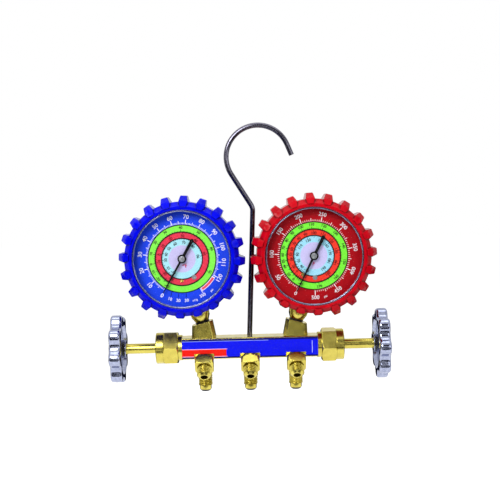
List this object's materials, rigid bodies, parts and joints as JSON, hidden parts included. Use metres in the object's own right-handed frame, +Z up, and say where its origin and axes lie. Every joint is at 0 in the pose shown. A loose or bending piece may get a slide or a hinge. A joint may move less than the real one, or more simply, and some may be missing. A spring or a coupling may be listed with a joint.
{
  "type": "refrigerant manifold gauge",
  "caption": "Two-valve refrigerant manifold with a low and a high side dial gauge in lugged rubber boots, angled flare hose ports, lobed hand wheels and a hanging hook.",
  "frame": {"origin": "seat inside the top of the hook's loop, where the tool hangs", "axes": "+X along the bar towards the high side, +Y from the dials to the back, +Z up the hook"},
  "size_m": [0.2172, 0.054, 0.2062],
  "materials": {
    "brass": "turned and tumbled",
    "works_brass": "stamped",
    "tube_bronze": "drawn",
    "spring_bronze": "rolled",
    "wheel_chrome": "plated",
    "bezel_chrome": "polished",
    "hook_steel": "nickel plated",
    "screw_steel": "zinc plated",
    "case_steel": "black enamel",
    "lens_clear": "clear",
    "low_rubber": "moulded",
    "high_rubber": "moulded",
    "seal_rubber": "moulded",
    "packing_ptfe": "turned",
    "low_dial": "printed",
    "high_dial": "printed",
    "pointer_black": "matt black",
    "label_foil": "printed foil"
  },
  "bodies": {
    "manifold": {"manifold_bar": "brass", "label_panel": "label_foil", "hook_set_screw": "screw_steel", "hose_port_low": "brass", "hose_anchor_low": "brass", "hose_port_centre": "brass", "hose_anchor_centre": "brass", "hose_port_high": "brass", "hose_anchor_high": "brass", "low_bonnet": "brass", "low_packing": "packing_ptfe", "low_boot": "low_rubber", "low_case": "case_steel", "low_bezel": "bezel_chrome", "low_lens": "lens_clear", "low_lens_gasket": "seal_rubber", "low_dial": "low_dial", "low_dial_screws": "screw_steel", "low_socket": "brass", "low_bourdon_tube": "tube_bronze", "low_tube_tip": "works_brass", "low_movement_plates": "works_brass", "low_movement_pillars": "works_brass", "low_hairspring": "spring_bronze", "high_bonnet": "brass", "high_packing": "packing_ptfe", "high_boot": "high_rubber", "high_case": "case_steel", "high_bezel": "bezel_chrome", "high_lens": "lens_clear", "high_lens_gasket": "seal_rubber", "high_dial": "high_dial", "high_dial_screws": "screw_steel", "high_socket": "brass", "high_bourdon_tube": "tube_bronze", "high_tube_tip": "works_brass", "high_movement_plates": "works_brass", "high_movement_pillars": "works_brass", "high_hairspring": "spring_bronze"},
    "low_plug": {"low_piston": "brass", "low_piston_ring": "seal_rubber"},
    "low_spindle": {"low_valve_stem": "brass", "low_hand_wheel": "wheel_chrome", "low_wheel_screw": "screw_steel"},
    "low_needle": {"low_pointer": "pointer_black", "low_pinion": "works_brass"},
    "low_sector": {"low_sector_gear": "works_brass"},
    "low_link_bar": {"low_link": "works_brass"},
    "high_plug": {"high_piston": "brass", "high_piston_ring": "seal_rubber"},
    "high_spindle": {"high_valve_stem": "brass", "high_hand_wheel": "wheel_chrome", "high_wheel_screw": "screw_steel"},
    "high_needle": {"high_pointer": "pointer_black", "high_pinion": "works_brass"},
    "high_sector": {"high_sector_gear": "works_brass"},
    "high_link_bar": {"high_link": "works_brass"},
    "hanger": {"hook": "hook_steel"}
  },
  "joints": [
    {"name": "low_valve_travel", "type": "slide", "parent": "manifold", "child": "low_plug", "axis": [-1, 0, 0], "range_m": [0, 0.003]},
    {"name": "low_valve_turn", "type": "hinge", "parent": "low_plug", "child": "low_spindle", "pos_m": [-0.07053, -0.006, -0.16768], "axis": [-1, 0, 0], "range_deg": [0, 720]},
    {"name": "low_needle_turn", "type": "hinge", "parent": "manifold", "child": "low_needle", "pos_m": [-0.05997, -0.006, -0.09813], "axis": [0, 1, 0], "range_deg": [-35, 300], "stiffness_Nm_per_rad": 0.0003},
    {"name": "low_sector_turn", "type": "hinge", "parent": "manifold", "child": "low_sector", "pos_m": [-0.05438, -0.006, -0.119], "axis": [0, 1, 0], "range_deg": [-38, 5]},
    {"name": "low_link_turn", "type": "hinge", "parent": "low_sector", "child": "low_link_bar", "pos_m": [-0.05148, -0.006, -0.12402], "axis": [0, 1, 0], "range_deg": [-5, 38]},
    {"name": "high_valve_travel", "type": "slide", "parent": "manifold", "child": "high_plug", "axis": [1, 0, 0], "range_m": [0, 0.003]},
    {"name": "high_valve_turn", "type": "hinge", "parent": "high_plug", "child": "high_spindle", "pos_m": [0.04947, -0.006, -0.16768], "axis": [1, 0, 0], "range_deg": [0, 720]},
    {"name": "high_needle_turn", "type": "hinge", "parent": "manifold", "child": "high_needle", "pos_m": [0.0389, -0.006, -0.09813], "axis": [0, 1, 0], "range_deg": [0, 332], "stiffness_Nm_per_rad": 0.0003},
    {"name": "high_sector_turn", "type": "hinge", "parent": "manifold", "child": "high_sector", "pos_m": [0.03331, -0.006, -0.119], "axis": [0, 1, 0], "range_deg": [-42, 0]},
    {"name": "high_link_turn", "type": "hinge", "parent": "high_sector", "child": "high_link_bar", "pos_m": [0.03331, -0.006, -0.1248], "axis": [0, 1, 0], "range_deg": [0, 42]},
    {"name": "hook_swivel", "type": "hinge", "parent": "manifold", "child": "hanger", "pos_m": [-0.01053, 0, -0.15968], "axis": [0.0471, 0, 0.9989], "continuous": true}
  ],
  "couplings": [
    {"joint": "low_valve_travel", "follows": "low_valve_turn", "m_per_rad": 0.00023873},
    {"joint": "low_sector_turn", "follows": "low_needle_turn", "ratio": -0.125},
    {"joint": "low_link_turn", "follows": "low_needle_turn", "ratio": 0.125},
    {"joint": "high_valve_travel", "follows": "high_valve_turn", "m_per_rad": 0.00023873},
    {"joint": "high_sector_turn", "follows": "high_needle_turn", "ratio": -0.125},
    {"joint": "high_link_turn", "follows": "high_needle_turn", "ratio": 0.125}
  ]
}
